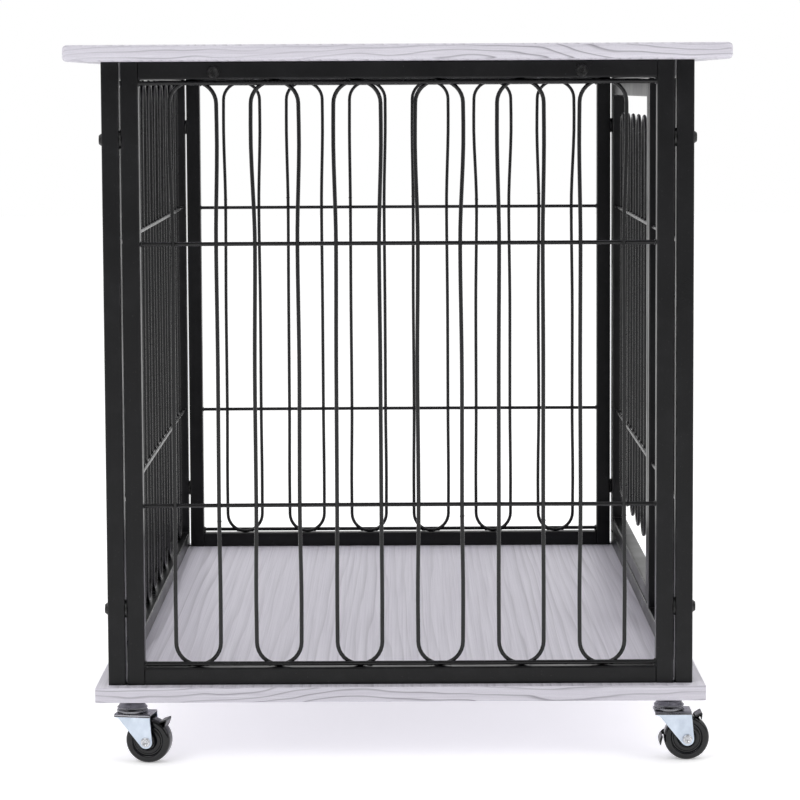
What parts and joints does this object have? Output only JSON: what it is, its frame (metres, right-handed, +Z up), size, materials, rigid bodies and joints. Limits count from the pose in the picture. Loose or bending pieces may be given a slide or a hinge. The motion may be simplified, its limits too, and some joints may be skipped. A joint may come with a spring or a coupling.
{
  "type": "wire dog crate",
  "caption": "Furniture-style dog crate: laminate top and base, welded black tube panels with wire loops, side door with slide bolt, swivel casters.",
  "frame": {"origin": "on the floor, under the middle of the crate", "axes": "+Z up, +Y along the length towards the rear end panel, +X towards the side with the door"},
  "size_m": [0.64, 0.98, 0.703],
  "materials": {
    "laminate": "pale grey-lavender wood-grain laminate, matt",
    "black_frame": "satin black powder coat",
    "black_bolt": "black oxide, slightly oily",
    "wheel_black": "polished black",
    "race_black": "dark plated steel",
    "brake_black": "black plated steel, semi-gloss",
    "zinc_sheet": "bright zinc plate",
    "zinc_hardware": "zinc plated",
    "latch_steel": "satin steel"
  },
  "bodies": {
    "root": {"top_board": "laminate", "base_board": "laminate", "front_end_posts": "black_frame", "front_end_rails": "black_frame", "front_end_rods": "black_frame", "front_end_loops": "black_frame", "front_end_cross_wires": "black_frame", "rear_end_posts": "black_frame", "rear_end_rails": "black_frame", "rear_end_rods": "black_frame", "rear_end_loops": "black_frame", "rear_end_cross_wires": "black_frame", "back_side_posts": "black_frame", "back_side_rails": "black_frame", "back_side_rods": "black_frame", "back_side_loops": "black_frame", "back_side_cross_wires": "black_frame", "door_side_posts": "black_frame", "door_side_rails": "black_frame", "door_side_rods": "black_frame", "door_side_loops": "black_frame", "door_side_cross_wires": "black_frame", "hinge_frame_leaves": "black_frame", "hinge_pins": "zinc_hardware", "latch_keeper": "black_frame", "top_brackets": "black_frame", "top_bracket_bolts": "black_bolt", "top_bracket_nuts": "zinc_hardware", "top_bracket_screws": "zinc_hardware", "corner_bolts": "black_bolt", "corner_rivet_nuts": "black_bolt", "base_bolts": "zinc_hardware", "base_weld_nuts": "zinc_hardware", "caster_tee_nuts": "zinc_hardware", "front_left_caster_mount": "race_black", "front_right_caster_mount": "race_black", "rear_left_caster_mount": "race_black", "rear_right_caster_mount": "race_black"},
    "door": {"door_stiles": "black_frame", "door_rails": "black_frame", "door_loops": "black_frame", "door_cross_wires": "black_frame", "hinge_door_leaves": "black_frame", "latch_plate": "black_frame"},
    "latch_bolt": {"latch_bolt": "latch_steel"},
    "front_left_swivel": {"front_left_caster_fork": "zinc_sheet", "front_left_caster_axle": "zinc_hardware"},
    "front_left_wheel": {"front_left_caster_wheel": "wheel_black"},
    "front_left_brake": {"front_left_caster_brake": "brake_black"},
    "front_right_swivel": {"front_right_caster_fork": "zinc_sheet", "front_right_caster_axle": "zinc_hardware"},
    "front_right_wheel": {"front_right_caster_wheel": "wheel_black"},
    "front_right_brake": {"front_right_caster_brake": "brake_black"},
    "rear_left_swivel": {"rear_left_caster_fork": "zinc_sheet", "rear_left_caster_axle": "zinc_hardware"},
    "rear_left_wheel": {"rear_left_caster_wheel": "wheel_black"},
    "rear_right_swivel": {"rear_right_caster_fork": "zinc_sheet", "rear_right_caster_axle": "zinc_hardware"},
    "rear_right_wheel": {"rear_right_caster_wheel": "wheel_black"}
  },
  "joints": [
    {"name": "door_hinge", "type": "hinge", "parent": "root", "child": "door", "pos_m": [0.291, 0.4335, 0.382], "axis": [0, 0, 1], "range_deg": [0, 170]},
    {"name": "latch_slide", "type": "slide", "parent": "door", "child": "latch_bolt", "axis": [0, -1, 0], "range_m": [0, 0.02]},
    {"name": "front_left_swivel", "type": "hinge", "parent": "root", "child": "front_left_swivel", "pos_m": [-0.2645, -0.444, 0.05], "axis": [0, 0, 1], "continuous": true},
    {"name": "front_left_roll", "type": "hinge", "parent": "front_left_swivel", "child": "front_left_wheel", "pos_m": [-0.24776, -0.44695, 0.02225], "axis": [0.1736, 0.9848, 0], "continuous": true},
    {"name": "front_left_brake", "type": "hinge", "parent": "front_left_swivel", "child": "front_left_brake", "pos_m": [-0.24776, -0.44695, 0.02225], "axis": [0.1736, 0.9848, 0], "range_deg": [-10, 10]},
    {"name": "front_right_swivel", "type": "hinge", "parent": "root", "child": "front_right_swivel", "pos_m": [0.2645, -0.444, 0.05], "axis": [0, 0, 1], "continuous": true},
    {"name": "front_right_roll", "type": "hinge", "parent": "front_right_swivel", "child": "front_right_wheel", "pos_m": [0.2815, -0.444, 0.02225], "axis": [0, 1, 0], "continuous": true},
    {"name": "front_right_brake", "type": "hinge", "parent": "front_right_swivel", "child": "front_right_brake", "pos_m": [0.2815, -0.444, 0.02225], "axis": [0, 1, 0], "range_deg": [-10, 10]},
    {"name": "rear_left_swivel", "type": "hinge", "parent": "root", "child": "rear_left_swivel", "pos_m": [-0.2645, 0.444, 0.05], "axis": [0, 0, 1], "continuous": true},
    {"name": "rear_left_roll", "type": "hinge", "parent": "rear_left_swivel", "child": "rear_left_wheel", "pos_m": [-0.2475, 0.444, 0.02225], "axis": [0, 1, 0], "continuous": true},
    {"name": "rear_right_swivel", "type": "hinge", "parent": "root", "child": "rear_right_swivel", "pos_m": [0.2645, 0.444, 0.05], "axis": [0, 0, 1], "continuous": true},
    {"name": "rear_right_roll", "type": "hinge", "parent": "rear_right_swivel", "child": "rear_right_wheel", "pos_m": [0.2815, 0.444, 0.02225], "axis": [0, 1, 0], "continuous": true}
  ]
}
